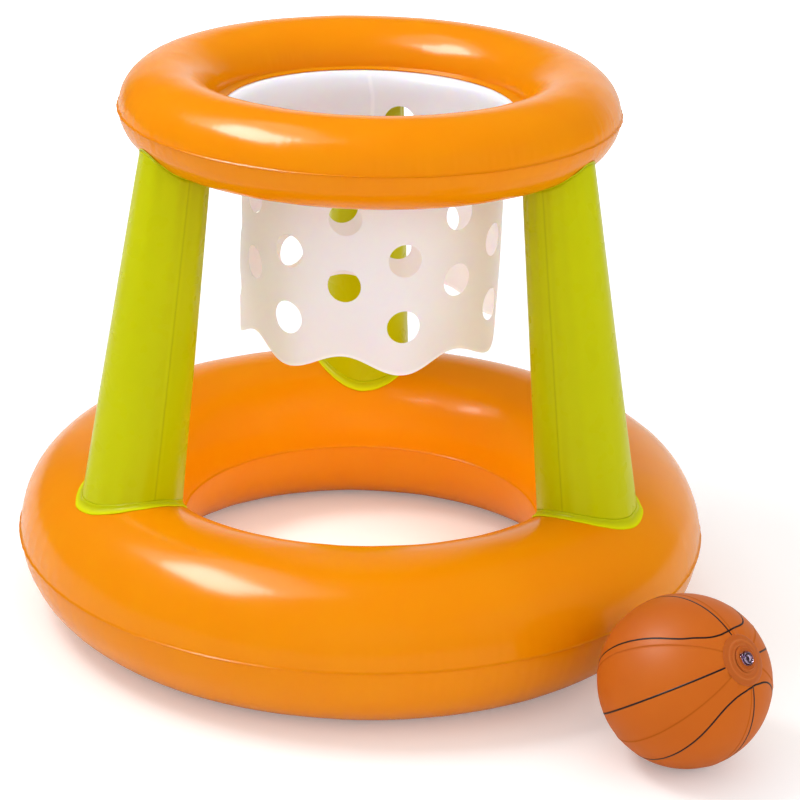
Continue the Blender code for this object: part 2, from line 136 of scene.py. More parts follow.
def vinyl(name, body, deep, weld, crease, gloss, glow, shine, soak_mm=0.5):
    """Plasticised PVC film, calendered and blown tight: wet-looking gloss with a faint orange peel, light that soaks
    through it, a weld tone and a duller gloss where films are welded, and a deeper tone where they fold or meet at a
    seam. Both tones
    also carry painted light: the deeper one is painted shade at the legs' ends, skirts and collars and beside the
    rings' seams, and the weld tone is painted shade on the orange rings' seam lips and partly a painted highlight on
    the lime skirts' lips."""
    made, tree = new_material(name)
    shader = tree.nodes["Principled BSDF"]
    place = node(tree, "ShaderNodeTexCoord").outputs["Object"]
    # Clouds of tone 55 mm wide, streaks of gloss 18 mm wide, and a peel of 2.5 mm, coarser than a real one to show
    mottle = node(tree, "ShaderNodeTexNoise", {"Vector": place, "Scale": 1000 / 55, "Detail": 3.0})
    colour = node(tree, "ShaderNodeMix", {"Factor": mottle.outputs["Fac"], "A": linear(body), "B": linear(deep)},
                  data_type="RGBA")
    shaded_fold, welded = (node(tree, "ShaderNodeAttribute", attribute_name=mark).outputs["Fac"]
                      for mark in ("crease", "weld"))
    for share, tone in ((shaded_fold, crease), (welded, weld)):
        colour = node(tree, "ShaderNodeMix", {"Factor": share, "A": colour.outputs["Result"], "B": linear(tone)},
                      data_type="RGBA")
    tree.links.new(colour.outputs["Result"], shader.inputs["Base Color"])
    streak = node(tree, "ShaderNodeTexNoise", {"Vector": place, "Scale": 1000 / 18, "Detail": 1.0})
    haze = node(tree, "ShaderNodeMapRange", {"Value": streak.outputs["Fac"], "To Min": gloss - 0.03,
                                             "To Max": gloss + 0.03})
    dull = node(tree, "ShaderNodeMath", [welded, 0.5, haze], operation="MULTIPLY_ADD")
    tree.links.new(dull.outputs[0], shader.inputs["Roughness"])
    peel = node(tree, "ShaderNodeTexNoise", {"Vector": place, "Scale": 1000 / 2.5, "Detail": 2.0})
    bump = node(tree, "ShaderNodeBump", {"Height": peel.outputs["Fac"], "Strength": 0.1, "Distance": 0.0002})
    tree.links.new(bump.outputs[0], shader.inputs["Normal"])
    shader.inputs["IOR"].default_value = 1.53
    sheen = node(tree, "ShaderNodeMath", [welded, -0.8 * shine, shine], operation="MULTIPLY_ADD")
    tree.links.new(sheen.outputs[0], shader.inputs["Specular IOR Level"])
    shader.inputs["Subsurface Weight"].default_value = glow
    shader.inputs["Subsurface Radius"].default_value = (1.0, 0.5, 0.2)
    shader.inputs["Subsurface Scale"].default_value = soak_mm / 1000
    return made


# The orange's weld and fold tones are darker than its body: painted shade on the seam lips and beside the seams
ORANGE = vinyl("inflated_orange_vinyl", "#E68C02", "#E48300", "#DA7604", "#D66C02", 0.19, 0.25, 0.12)
# The lime's fold tone is painted shade at the legs' ends, skirts and collars and a dark line in the seams; its paler
# weld tone is partly a painted highlight on the skirts' lips
LIME = vinyl("inflated_lime_vinyl", "#BEC000", "#B6B800", "#D0D206", "#A2A400", 0.28, 0.25, 0.07)
BALL_FILM = vinyl("ball_vinyl", "#C46412", "#BB5A0E", "#A04C0E", "#A85214", 0.5, 0.2, 0.12)
PATCH = vinyl("patch_vinyl", "#B65C1E", "#AC5418", "#BC6630", "#963F12", 0.36, 0.4, 0.15)
NET_FILM = vinyl("net_vinyl", "#E2E2E8", "#DCDCE2", "#F6F5F6", "#CCC8CE", 0.42, 0.7, 0.3, soak_mm=2.5)


def grained(name, light, dark, grain_mm, smooth, rough):
    """A material that drifts between two tones and two roughnesses in a fine grain, and its shader."""
    made, tree = new_material(name)
    shader = tree.nodes["Principled BSDF"]
    place = node(tree, "ShaderNodeTexCoord").outputs["Object"]
    grain = node(tree, "ShaderNodeTexNoise", {"Vector": place, "Scale": 1000 / grain_mm, "Detail": 2.0})
    tone = node(tree, "ShaderNodeMix", {"Factor": grain.outputs["Fac"], "A": linear(light), "B": linear(dark)},
                data_type="RGBA")
    tree.links.new(tone.outputs["Result"], shader.inputs["Base Color"])
    haze = node(tree, "ShaderNodeMapRange", {"Value": grain.outputs["Fac"], "To Min": smooth, "To Max": rough})
    tree.links.new(haze.outputs[0], shader.inputs["Roughness"])
    return made, shader


def clear_vinyl():
    """Soft clear PVC, injection moulded: a milky, faintly pink clearness with a soft shine."""
    made, shader = grained("clear_moulded_vinyl", "#DCC8E2", "#D0B8D8", 4, 0.03, 0.08)
    shader.inputs["IOR"].default_value = 1.53
    shader.inputs["Transmission Weight"].default_value = 1.0
    return made


def ink():
    """Dark brown printing ink on vinyl: thin, satin, a little uneven along its edge."""
    made, shader = grained("printed_ink", "#1C100C", "#2A1812", 1.5, 0.42, 0.55)
    shader.inputs["Specular IOR Level"].default_value = 0.2
    return made


CLEAR = clear_vinyl()
INK = ink()


# Making pieces

def add(name, data):
    """A new object in the scene."""
    made = bpy.data.objects.new(name, data)
    bpy.context.scene.collection.objects.link(made)
    return made


def place_piece(mesh, name, body, nodes=(), material=None):
    """Link a finished mesh, hang it on the body that carries it, and hide the CAD nodes that it stands for."""
    made = add(name, mesh)
    mesh.name = name
    if material is not None:
        mesh.materials.clear()
        mesh.materials.append(material)
    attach(made, body)
    if nodes:
        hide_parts(*nodes)
    return made


def new_tree(name, numbers, geometry=False):
    """A Geometry Nodes tree with named inputs, and the values that they give."""
    tree = bpy.data.node_groups.new(name, "GeometryNodeTree")
    if geometry:
        tree.interface.new_socket("Geometry", in_out="INPUT", socket_type="NodeSocketGeometry")
    for label in numbers:
        tree.interface.new_socket(label, in_out="INPUT", socket_type="NodeSocketFloat")
    tree.interface.new_socket("Material", in_out="INPUT", socket_type="NodeSocketMaterial")
    tree.interface.new_socket("Result", in_out="OUTPUT", socket_type="NodeSocketGeometry")
    return tree, node(tree, "NodeGroupInput").outputs


def close_tree(tree, geometry, material):
    """End a tree in real geometry with its material."""
    real = node(tree, "GeometryNodeRealizeInstances", [geometry])
    dressed = node(tree, "GeometryNodeSetMaterial", {"Geometry": real, "Material": material})
    node(tree, "NodeGroupOutput", [dressed])


def grow(tree, values, start=None, wall=0.0):
    """The plain mesh that a tree makes, with a wall of its own if it is a film."""
    carrier = add("carrier", start or bpy.data.meshes.new("carrier"))
    grown = carrier.modifiers.new("grown", "NODES")
    grown.node_group = tree
    for item in tree.interface.items_tree:
        if item.in_out == "INPUT" and item.name in values:
            grown[item.identifier] = values[item.name]
    if wall:
        thicken(carrier, wall)
    return flatten(carrier)


def thicken(carrier, wall):
    """Give a film its wall, inwards from its outer face."""
    thick = carrier.modifiers.new("wall", "SOLIDIFY")
    thick.thickness = wall
    thick.offset = -1


def flatten(carrier):
    """A plain mesh from an object and its modifiers."""
    graph = bpy.context.evaluated_depsgraph_get()
    graph.update()
    mesh = bpy.data.meshes.new_from_object(carrier.evaluated_get(graph))
    carrier.modifiers.clear()
    bpy.data.objects.remove(carrier)
    return mesh


def skin(rows, around=False, closed=False, **marks):
    """A mesh of quads over rows of points. around joins each row's ends, closed joins the last row to the first."""
    count, width = len(rows), len(rows[0])
    faces = []
    for i in range(count if closed else count - 1):
        for j in range(width if around else width - 1):
            k, m = (i + 1) % count, (j + 1) % width
            faces.append((i * width + j, i * width + m, k * width + m, k * width + j))
    mesh = bpy.data.meshes.new("skin")
    mesh.from_pydata([point for row in rows for point in row], [], faces)
    for mark, values in marks.items():
        layer = mesh.attributes.new(mark, "FLOAT", "POINT")
        layer.data.foreach_set("value", [value for row in values for value in row])
    mesh.shade_smooth()
    return mesh


def settle(made, name):
    """The mesh of a finished bmesh."""
    mesh = bpy.data.meshes.new(name)
    made.to_mesh(mesh)
    made.free()
    return mesh


def outwards(mesh):
    """Turn the faces outwards, by the whole mesh."""
    made = bmesh.new()
    made.from_mesh(mesh)
    bmesh.ops.recalc_face_normals(made, faces=made.faces)
    made.to_mesh(mesh)
    made.free()
    return mesh


def walled(mesh, wall=FILM):
    """A film's plain mesh with its wall."""
    carrier = add("carrier", mesh)
    thicken(carrier, wall)
    return flatten(carrier)


def valve_frame(prefix):
    """A valve's frame at rest, Z out along its stem and X towards the flap's hinge, from the joints that move it."""
    joints = {joint["name"]: joint for joint in frame["record"]["behaviour"]["joints"]}
    out = Vector(joints[f"{prefix}_valve_push"]["axis"]).normalized()
    side = -Vector(joints[f"{prefix}_flap_swing"]["axis"]).normalized()
    ahead = side.cross(out)
    hinge = Vector(joints[f"{prefix}_flap_swing"]["pos_m"])
    origin = hinge - ahead * STEM_RADIUS - out * (STEM_LOW - FILM)
    return Matrix.Translation(origin) @ Matrix((ahead, side, out)).transposed().to_4x4()


# Rings: half tubes of film, welded along two seams where they pucker

# The share of a film's width in each weld lip, how far its rows crowd towards the seams in radians, its lift off the
# other film, and how fast the welt, the puckers and the fold fade for each radian round the tube
LIP_SHARE = 0.021
ROW_CROWDING = 0.35
LIP_LIFT = 0.00045
WELT_FADE, PUCKER_FADE, FOLD_FADE = -7.0, -2.6, -40.0
# The cosines of the bearings from a valve at which the waves are back and gone
WAVES_BACK, WAVES_GONE = 0.985, 0.997


def ring_film_tree():
    """Bends a grid into one half of a ring's tube with its two weld lips, puckered by the seams."""
    tree, given = new_tree("ring film", [
        "Ring Radius", "Half Width", "Half Height", "Seam Height", "Outer Lip", "Inner Lip", "Side",
        "Pinch", "Pucker Depth", "Pucker Scale", "Wave Depth", "Wave Scale", "Seed", "Valve X", "Valve Y", "Axis X",
        "Axis Y"])
    grid = node(tree, "GeometryNodeMeshGrid", {"Size X": 1.0, "Size Y": 1.0, "Vertices X": 841, "Vertices Y": 49})
    flat = node(tree, "ShaderNodeSeparateXYZ", [node(tree, "GeometryNodeInputPosition")])
    bearing = node(tree, "ShaderNodeMath", [flat.outputs["X"], 2 * math.pi], operation="MULTIPLY")
    share = node(tree, "ShaderNodeMath", [flat.outputs["Y"], 0.5], operation="ADD")

    # The tube's angle: 0 at the outer seam, pi at the inner one, with finer steps near both
    even = node(tree, "ShaderNodeMapRange", {"Value": share, "From Min": LIP_SHARE, "From Max": 1 - LIP_SHARE,
                                             "To Min": 1.0, "To Max": 0.0})
    turned = node(tree, "ShaderNodeMath", [even, 2 * math.pi], operation="MULTIPLY")
    crowd = node(tree, "ShaderNodeMath", [node(tree, "ShaderNodeMath", [turned], operation="SINE"),
                                          -ROW_CROWDING], operation="MULTIPLY")
    tube = node(tree, "ShaderNodeMath", [even, math.pi, crowd], operation="MULTIPLY_ADD")
    across = node(tree, "ShaderNodeMath", [tube], operation="COSINE")
    above = node(tree, "ShaderNodeMath", [tube], operation="SINE")
    outer_lip = node(tree, "ShaderNodeMapRange", {"Value": share, "From Min": 1 - LIP_SHARE, "From Max": 1.0})
    inner_lip = node(tree, "ShaderNodeMapRange", {"Value": share, "From Min": LIP_SHARE, "From Max": 0.0})

    # How near a point lies to the outer and the inner seam
    to_inner = node(tree, "ShaderNodeMath", [math.pi, tube], operation="SUBTRACT")
    nearness = []
    for angle, fade in ((tube, WELT_FADE), (to_inner, WELT_FADE), (tube, PUCKER_FADE), (to_inner, PUCKER_FADE)):
        fall = node(tree, "ShaderNodeMath", [angle, fade], operation="MULTIPLY")
        nearness.append(node(tree, "ShaderNodeMath", [fall], operation="EXPONENT"))
    outer_near, inner_near, outer_wide, inner_wide = nearness
    wide = node(tree, "ShaderNodeMath", [inner_wide, 0.25, outer_wide], operation="MULTIPLY_ADD")

    # Puckers run across the seam, so their noise depends on the bearing alone; waves cover the whole tube but for
    # the film that the valve's seat holds true
    circle_x = node(tree, "ShaderNodeMath", [bearing], operation="COSINE")
    circle_y = node(tree, "ShaderNodeMath", [bearing], operation="SINE")
    on_circle = node(tree, "ShaderNodeCombineXYZ", [circle_x, circle_y, given["Seed"]])
    on_tube = node(tree, "ShaderNodeCombineXYZ", [
        circle_x, circle_y, node(tree, "ShaderNodeMath", [tube, 0.35, given["Seed"]], operation="MULTIPLY_ADD")])
    pucker = node(tree, "ShaderNodeTexNoise", {"Vector": on_circle, "Scale": given["Pucker Scale"], "Detail": 2.0})
    wave = node(tree, "ShaderNodeTexNoise", {"Vector": on_tube, "Scale": given["Wave Scale"], "Detail": 1.0})
    to_valve = node(tree, "ShaderNodeMath", [circle_x, given["Valve X"]], operation="MULTIPLY")
    to_valve = node(tree, "ShaderNodeMath", [circle_y, given["Valve Y"], to_valve], operation="MULTIPLY_ADD")
    held_true = node(tree, "ShaderNodeMapRange", {"Value": to_valve, "From Min": WAVES_BACK, "From Max": WAVES_GONE,
                                                  "To Min": 1.0, "To Max": 0.0}, interpolation_type="SMOOTHSTEP")
    swell = []
    for texture, depth, where in ((pucker, "Pucker Depth", wide), (wave, "Wave Depth", held_true)):
        centred = node(tree, "ShaderNodeMath", [texture.outputs["Fac"], 0.5], operation="SUBTRACT")
        deep = node(tree, "ShaderNodeMath", [centred, given[depth]], operation="MULTIPLY")
        swell.append(node(tree, "ShaderNodeMath", [deep, where], operation="MULTIPLY"))
    bulge = node(tree, "ShaderNodeMath", swell, operation="ADD")

    half_width = node(tree, "ShaderNodeMath", [given["Half Width"], bulge], operation="ADD")
    half_height = node(tree, "ShaderNodeMath", [given["Half Height"], bulge], operation="ADD")
    welt = node(tree, "ShaderNodeMath", [outer_near, inner_near], operation="SUBTRACT")
    reach = node(tree, "ShaderNodeMath", [half_width, across, given["Ring Radius"]], operation="MULTIPLY_ADD")
    reach = node(tree, "ShaderNodeMath", [welt, given["Pinch"], reach], operation="MULTIPLY_ADD")
    reach = node(tree, "ShaderNodeMath", [outer_lip, given["Outer Lip"], reach], operation="MULTIPLY_ADD")
    drawn_in = node(tree, "ShaderNodeMath", [inner_lip, given["Inner Lip"]], operation="MULTIPLY")
    reach = node(tree, "ShaderNodeMath", [reach, drawn_in], operation="SUBTRACT")
    rise = node(tree, "ShaderNodeMath", [half_height, above, LIP_LIFT], operation="MULTIPLY_ADD")
    height = node(tree, "ShaderNodeMath", [rise, given["Side"], given["Seam Height"]], operation="MULTIPLY_ADD")
    place_x = node(tree, "ShaderNodeMath", [reach, circle_x, given["Axis X"]], operation="MULTIPLY_ADD")
    place_y = node(tree, "ShaderNodeMath", [reach, circle_y, given["Axis Y"]], operation="MULTIPLY_ADD")
    bent = node(tree, "GeometryNodeSetPosition", {
        "Geometry": grid, "Position": node(tree, "ShaderNodeCombineXYZ", [place_x, place_y, height])})

    marked = bent
    # A deeper tone in a thin band by each seam: partly the films' fold, partly painted shade under the weld lip
    folds = node(tree, "ShaderNodeMath", [node(tree, "ShaderNodeMath", [angle, FOLD_FADE], operation="MULTIPLY")
                                          for angle in (tube, to_inner)], operation="MAXIMUM")
    fold = node(tree, "ShaderNodeMath", [folds], operation="EXPONENT")
    for mark, amount in (("weld", node(tree, "ShaderNodeMath", [outer_lip, inner_lip], operation="ADD")),
                         ("crease", fold)):
        marked = node(tree, "GeometryNodeStoreNamedAttribute", {"Geometry": marked, "Name": mark, "Value": amount},
                      data_type="FLOAT", domain="POINT")
    joined = node(tree, "GeometryNodeMergeByDistance", {"Geometry": marked, "Distance": 0.00001})
    upper = node(tree, "FunctionNodeCompare", {"A": given["Side"], "B": 0.0}, operation="GREATER_THAN",
                 data_type="FLOAT")
    turned_out = node(tree, "GeometryNodeFlipFaces", {"Mesh": joined, "Selection": upper})
    smooth = node(tree, "GeometryNodeSetShadeSmooth", {"Geometry": turned_out})
    close_tree(tree, smooth, given["Material"])
    return tree


RING_FILM = ring_film_tree()
PUCKER_SCALE = 34.0
WAVE_SCALE = 5.0
for ring, sizes, inner_lip, pinch, pucker, wave, seed in (
        ("base", BASE, WELD_LIP, 0.0008, 0.0014, 0.0012, 3.7),
        ("hoop", HOOP, NET_FLANGE, 0.0005, 0.0022, 0.001, 5.2)):
    valve_way = (valve_frame(ring).to_translation() - AXIS).to_2d().normalized()
    for level, side in (("top", 1.0), ("bottom", -1.0)):
        values = {**sizes, "Outer Lip": WELD_LIP, "Inner Lip": inner_lip, "Side": side, "Pinch": pinch,
                  "Pucker Depth": pucker, "Pucker Scale": PUCKER_SCALE, "Wave Depth": wave, "Wave Scale": WAVE_SCALE,
                  "Seed": seed, "Valve X": valve_way.x, "Valve Y": valve_way.y, "Axis X": AXIS.x,
                  "Axis Y": AXIS.y, "Material": ORANGE}
        place_piece(grow(RING_FILM, values, wall=FILM), f"{ring}_ring_{level}_film", "hoop_frame",
                    [f"{ring}_{level}_panel"])


# Legs: two half cones of film, a weld skirt that lies on the base ring, and a collar under the hoop ring

END_CLEAR = 0.0006
MEET_STEPS = 24
SLOPE_STEPS = 6
LEG_ROWS = 90
LEG_COLUMNS = 96
COLUMN_CROWDING = 0.11
FOLD_HEIGHT = 0.0016
RIDGE_HEIGHT, RIDGE_REACH = 0.0004, 0.0025
CRINKLE_HEIGHT, CRINKLE_REACH = 0.0003, 0.010


def leg_frame(bearing, foot_outset):
    """A leg's frame at the middle of the base ring's tube, Z up the leg, and its length."""
    foot = Vector((BASE["Ring Radius"] + foot_outset, 0, BASE["Seam Height"]))
    top = Vector((HOOP["Ring Radius"] + LEG_TOP_OUTSET, 0, HOOP["Seam Height"]))
    lean = math.atan2(top.x - foot.x, top.z - foot.z)
    turn = Matrix.Translation(AXIS) @ Matrix.Rotation(math.radians(bearing), 4, "Z")
    return turn @ Matrix.Translation(foot) @ Matrix.Rotation(lean, 4, "Y"), (top - foot).length


def off_ring(point, sizes):
    """How far a point lies outside a ring's tube."""
    reach = math.hypot(point.x - AXIS.x, point.y - AXIS.y) - sizes["Ring Radius"]
    rise = point.z - sizes["Seam Height"]
    across, up = reach / sizes["Half Width"], rise / sizes["Half Height"]
    return (math.hypot(across, up) - 1) * (sizes["Half Width"] + sizes["Half Height"]) / 2


def meet_ring(frame_matrix, angle, radius, sizes, clear, low, high):
    """The height along the leg at which a line beside it comes clear of a ring."""
    inside = low if sizes is BASE else high
    outside = high if sizes is BASE else low
    for _ in range(MEET_STEPS):
        middle = (inside + outside) / 2
        spot = frame_matrix @ Vector((radius * math.cos(angle), radius * math.sin(angle), middle))
        if off_ring(spot, sizes) < clear:
            inside = middle
        else:
            outside = middle
    return (inside + outside) / 2


def leg_radius(height, length):
    """The leg's radius at a height along it."""
    return LEG_FOOT_RADIUS + (LEG_TOP_RADIUS - LEG_FOOT_RADIUS) * height / length


def foot_height(matrix, angle, length, clear=END_CLEAR, outset=0.0):
    """Where the leg's own wall meets the base ring, by a few steps along its slope."""
    height = BASE["Half Height"]
    for _ in range(SLOPE_STEPS):
        height = meet_ring(matrix, angle, leg_radius(height, length) + outset, BASE, clear, 0.02, length / 2)
    return height


def top_height(matrix, angle, length, clear=END_CLEAR, outset=0.0):
    """Where the leg's own wall meets the hoop ring."""
    height = length - HOOP["Half Height"]
    for _ in range(SLOPE_STEPS):
        height = meet_ring(matrix, angle, leg_radius(height, length) + outset, HOOP, clear, length / 2, length)
    return height


def leg_swell(angle, height, low, high, seed):
    """How far the blown film stands off its cone: soft folds run down from both ends, with a ridge by each seam."""
    to_seam = LEG_FOOT_RADIUS * abs(math.asin(math.cos(angle)))
    end = math.exp(-(height - low) / 0.05) + 1.4 * math.exp(-(high - height) / 0.09)
    fold = noise.noise(Vector((math.cos(angle) * 3.2 + seed, math.sin(angle) * 3.2, height * 3)))
    crinkle = noise.noise(Vector((height * 70, seed, 3 * math.copysign(1, math.sin(angle)))))
    return (RIDGE_HEIGHT * math.exp(-to_seam / RIDGE_REACH)
            + CRINKLE_HEIGHT * crinkle * math.exp(-to_seam / CRINKLE_REACH)
            + FOLD_HEIGHT * fold * min(1.0, 0.15 + end))


def leg_film(half, matrix, length, seed):
    """One half of a leg, with its columns closer by the seams and its ends cut to the rings."""
    start = -math.pi / 2 if half == "outer" else math.pi / 2
    columns = []
    for j in range(LEG_COLUMNS + 1):
        share = j / LEG_COLUMNS
        share -= COLUMN_CROWDING * math.sin(2 * math.pi * share)
        angle = start + math.pi * share
        columns.append((angle, share, foot_height(matrix, angle, length), top_height(matrix, angle, length)))
    rows, welds, creases = [], [], []
    for i in range(LEG_ROWS + 1):
        row, weld, crease = [], [], []
        for angle, share, low, high in columns:
            height = low + (high - low) * i / LEG_ROWS
            radius = leg_radius(height, length)
            from_seam = math.pi * min(share, 1 - share) * radius
            radius += leg_swell(angle, height, low, high, seed)
            row.append(matrix @ Vector((radius * math.cos(angle), radius * math.sin(angle), height)))
            # A faint pale line beside each seam, a dark one in it, and painted shade at both ends, where the leg
            # meets the rings
            weld.append(0.15 * math.exp(-((from_seam - 0.0022) / 0.0011) ** 2))
            crease.append(max(0.8 * math.exp(-from_seam / 0.0006), 0.3 * math.exp(-(height - low) / 0.003),
                              0.3 * math.exp(-(high - height) / 0.010)))
        rows.append(row)
        welds.append(weld)
        creases.append(crease)
    return walled(skin(rows, weld=welds, crease=creases))


def loop_piece(matrix, length, seed, profile, steps, grip, wrinkle):
    """A closed ring round a leg. profile gives outset, clearance, weld and darker tone, and grip each point's height.
    """
    rows, welds, creases = [[[] for _ in profile] for _ in range(3)]
    for j in range(steps):
        angle = 2 * math.pi * j / steps
        low, high = foot_height(matrix, angle, length), top_height(matrix, angle, length)
        flare = 1 + wrinkle * noise.noise(Vector((math.cos(angle) * 4 + seed, math.sin(angle) * 4, 0)))
        for i, (outset, clear, weld, crease) in enumerate(profile):
            height = grip(matrix, angle, length, clear, outset)
            radius = leg_radius(height, length) + outset * flare + leg_swell(angle, height, low, high, seed)
            rows[i].append(matrix @ Vector((radius * math.cos(angle), radius * math.sin(angle), height)))
            welds[i].append(weld)
            creases[i].append(crease)
    return outwards(skin(rows, around=True, closed=True, weld=welds, crease=creases))


# Outset, clearance off the ring, weld and darker tone of each point round the section. On the skirt the darker tone
# is painted shade in the crease by the leg, and the weld that rises to the lip is partly a real weld and partly a
# painted highlight on the rolled lip
SKIRT_PROFILE = [(0.0001, 0.0058, 0.0, 0.0), (0.0002, 0.0046, 0.0, 0.2), (0.0005, 0.0034, 0.0, 0.35),
                 (0.0011, 0.0026, 0.1, 0.35), (0.0020, 0.0021, 0.3, 0.2), (0.0030, 0.0019, 0.5, 0.0),
                 (0.0040, 0.0018, 0.8, 0.0), (0.0047, 0.0015, 1.0, 0.0), (0.0050, 0.0010, 1.0, 0.0),
                 (0.0047, 0.0005, 0.8, 0.0), (0.0035, 0.0003, 0.4, 0.0), (0.0018, 0.0003, 0.0, 0.0),
                 (0.0001, 0.0003, 0.0, 0.0)]
# The collar's darker tone all round is painted shade under the hoop ring
COLLAR_PROFILE = [(0.0001, 0.0014, 0.0, 0.25), (0.0003, 0.0010, 0.0, 0.25), (0.0005, 0.0008, 0.0, 0.25),
                  (0.0006, 0.0006, 0.0, 0.25), (0.0005, 0.0004, 0.0, 0.25), (0.0001, 0.0003, 0.0, 0.25)]

for seed, (side, bearing) in enumerate(LEG_BEARINGS.items()):
    matrix, length = leg_frame(bearing, LEG_FOOT_OUTSETS[side])
    for half in ("outer", "inner"):
        place_piece(leg_film(half, matrix, length, seed), f"leg_{side}_{half}_film", "hoop_frame",
                    [f"leg_{side}_{half}_panel"], LIME)
    for piece, node_name, profile, steps, grip, wrinkle in (
            ("foot_skirt", "foot_flange", SKIRT_PROFILE, 300, foot_height, 0.12),
            ("collar", "top_collar", COLLAR_PROFILE, 200, top_height, 0.1)):
        place_piece(loop_piece(matrix, length, seed, profile, steps, grip, wrinkle), f"leg_{side}_{piece}",
                    "hoop_frame", [f"leg_{side}_{node_name}"], LIME)


# Net: a film tube with a scalloped hem, welded under the hoop ring's inner lip

NET_COLUMNS = 420
NET_ROWS = 48
FLANGE_ROWS = 4
SHOULDER_ROWS = 10
FLANGE_WIDTH = 0.008
HEM_FLARE = 0.0022
NET_SWAY = 0.0035
JOINT_WIDTH, JOINT_DEPTH = 0.0016, 0.0004


def net_film():
    """The net before its holes are punched: rim flange, rounded shoulder, and a tube that waves towards the hem."""
    line = [(NET_RIM_RADIUS + FLANGE_WIDTH * (1 - i / FLANGE_ROWS), NET_TOP, 1.0) for i in range(FLANGE_ROWS)]
    for i in range(SHOULDER_ROWS + 1):
        angle = math.pi / 2 * i / SHOULDER_ROWS
        line.append((NET_RIM_RADIUS - (NET_RIM_RADIUS - NET_RADIUS) * math.sin(angle),
                     NET_TOP - NET_SHOULDER * (1 - math.cos(angle)), max(0.0, 1 - i / 5)))
    rows, welds = [], []
    steps = len(line) + NET_ROWS
    for i in range(steps):
        row, weld = [], []
        for j in range(NET_COLUMNS):
            # The part of a step keeps the columns' edges off the punches' corners
            turn = 2 * math.pi * (j + 0.37) / NET_COLUMNS
            bearing = math.radians(NET_FIRST_BEARING) + turn
            phase = math.cos(LOBES * turn)
            if i < len(line):
                radius, height, mark = line[i]
            else:
                share = (i - len(line) + 1) / (steps - len(line))
                top = NET_TOP - NET_SHOULDER
                height = top + (NET_TOP - NET_LENGTH - SCALLOP / 2 * phase - top) * share
                radius = NET_RADIUS + (NET_HEM_RADIUS - NET_RADIUS) * share
                mark = 0.7 if i == steps - 1 else 0.0
            fall = (NET_TOP - height) / NET_LENGTH
            lean = NET_LEAN * min(1.0, (NET_TOP - height) / NET_SHOULDER)
            radius += HEM_FLARE * phase * fall ** 2
            sway = noise.noise(Vector((math.cos(bearing) * 1.6, math.sin(bearing) * 1.6, height * 7)))
            radius += NET_SWAY * fall * sway
            from_joint = math.sin((bearing - NET_JOINT_BEARING) / 2) * 2 * NET_RADIUS
            joint = math.exp(-(from_joint / JOINT_WIDTH) ** 2)
            radius -= JOINT_DEPTH * joint
            row.append((AXIS.x + lean + radius * math.cos(bearing), AXIS.y + radius * math.sin(bearing), height))
            weld.append(max(mark, 0.6 * joint))
        rows.append(row)
        welds.append(weld)
    return walled(outwards(skin(rows, around=True, weld=welds)), NET_WALL)


def perforation_tree():
    """Punches round holes through the net, five to a lobe: three in a long column and two between."""
    tree, given = new_tree("net perforations", [
        "Lobes", "Hole Radius", "Net Radius", "Top", "Row Pitch", "Long First Drop", "Short First Drop",
        "First Bearing", "Axis X", "Axis Y"], geometry=True)
    index = node(tree, "GeometryNodeInputIndex")
    lobe = node(tree, "ShaderNodeMath", [node(tree, "ShaderNodeMath", [index, 5.0], operation="DIVIDE")],
                operation="FLOOR")
    within = node(tree, "ShaderNodeMath", [index, 5.0], operation="MODULO")
    short = node(tree, "ShaderNodeMath", [within, 2.5], operation="GREATER_THAN")
    row = node(tree, "ShaderNodeMath", [node(tree, "ShaderNodeMath", [short, 3.0], operation="MULTIPLY"), -1.0,
                                        within], operation="MULTIPLY_ADD")
    step = node(tree, "ShaderNodeMath", [short, 0.5, lobe], operation="MULTIPLY_ADD")
    turn = node(tree, "ShaderNodeMath", [step, given["Lobes"]], operation="DIVIDE")
    bearing = node(tree, "ShaderNodeMath", [turn, 2 * math.pi, given["First Bearing"]], operation="MULTIPLY_ADD")
    later = node(tree, "ShaderNodeMath", [given["Short First Drop"], given["Long First Drop"]],
                 operation="SUBTRACT")
    first = node(tree, "ShaderNodeMath", [short, later, given["Long First Drop"]], operation="MULTIPLY_ADD")
    drop = node(tree, "ShaderNodeMath", [row, given["Row Pitch"], first], operation="MULTIPLY_ADD")
    height = node(tree, "ShaderNodeMath", [given["Top"], drop], operation="SUBTRACT")
    east = node(tree, "ShaderNodeMath", [node(tree, "ShaderNodeMath", [bearing], operation="COSINE"),
                                         given["Net Radius"], given["Axis X"]], operation="MULTIPLY_ADD")
    north = node(tree, "ShaderNodeMath", [node(tree, "ShaderNodeMath", [bearing], operation="SINE"),
                                          given["Net Radius"], given["Axis Y"]], operation="MULTIPLY_ADD")
    total = node(tree, "ShaderNodeMath", [given["Lobes"], 5.0], operation="MULTIPLY")
    spots = node(tree, "GeometryNodePoints", {
        "Count": total, "Position": node(tree, "ShaderNodeCombineXYZ", [east, north, height])})
    punch = node(tree, "GeometryNodeMeshCylinder", {"Vertices": 44, "Radius": given["Hole Radius"], "Depth": 0.05})
    aim = node(tree, "ShaderNodeCombineXYZ", [0.0, math.pi / 2, bearing])
    punches = node(tree, "GeometryNodeInstanceOnPoints", {"Points": spots, "Instance": punch, "Rotation": aim})
    solid = node(tree, "GeometryNodeRealizeInstances", [punches])
    cut = node(tree, "GeometryNodeMeshBoolean", {"Mesh 1": given["Geometry"], "Mesh 2": solid},
               operation="DIFFERENCE", solver="MANIFOLD")
    close_tree(tree, cut.outputs["Mesh"], given["Material"])
    return tree


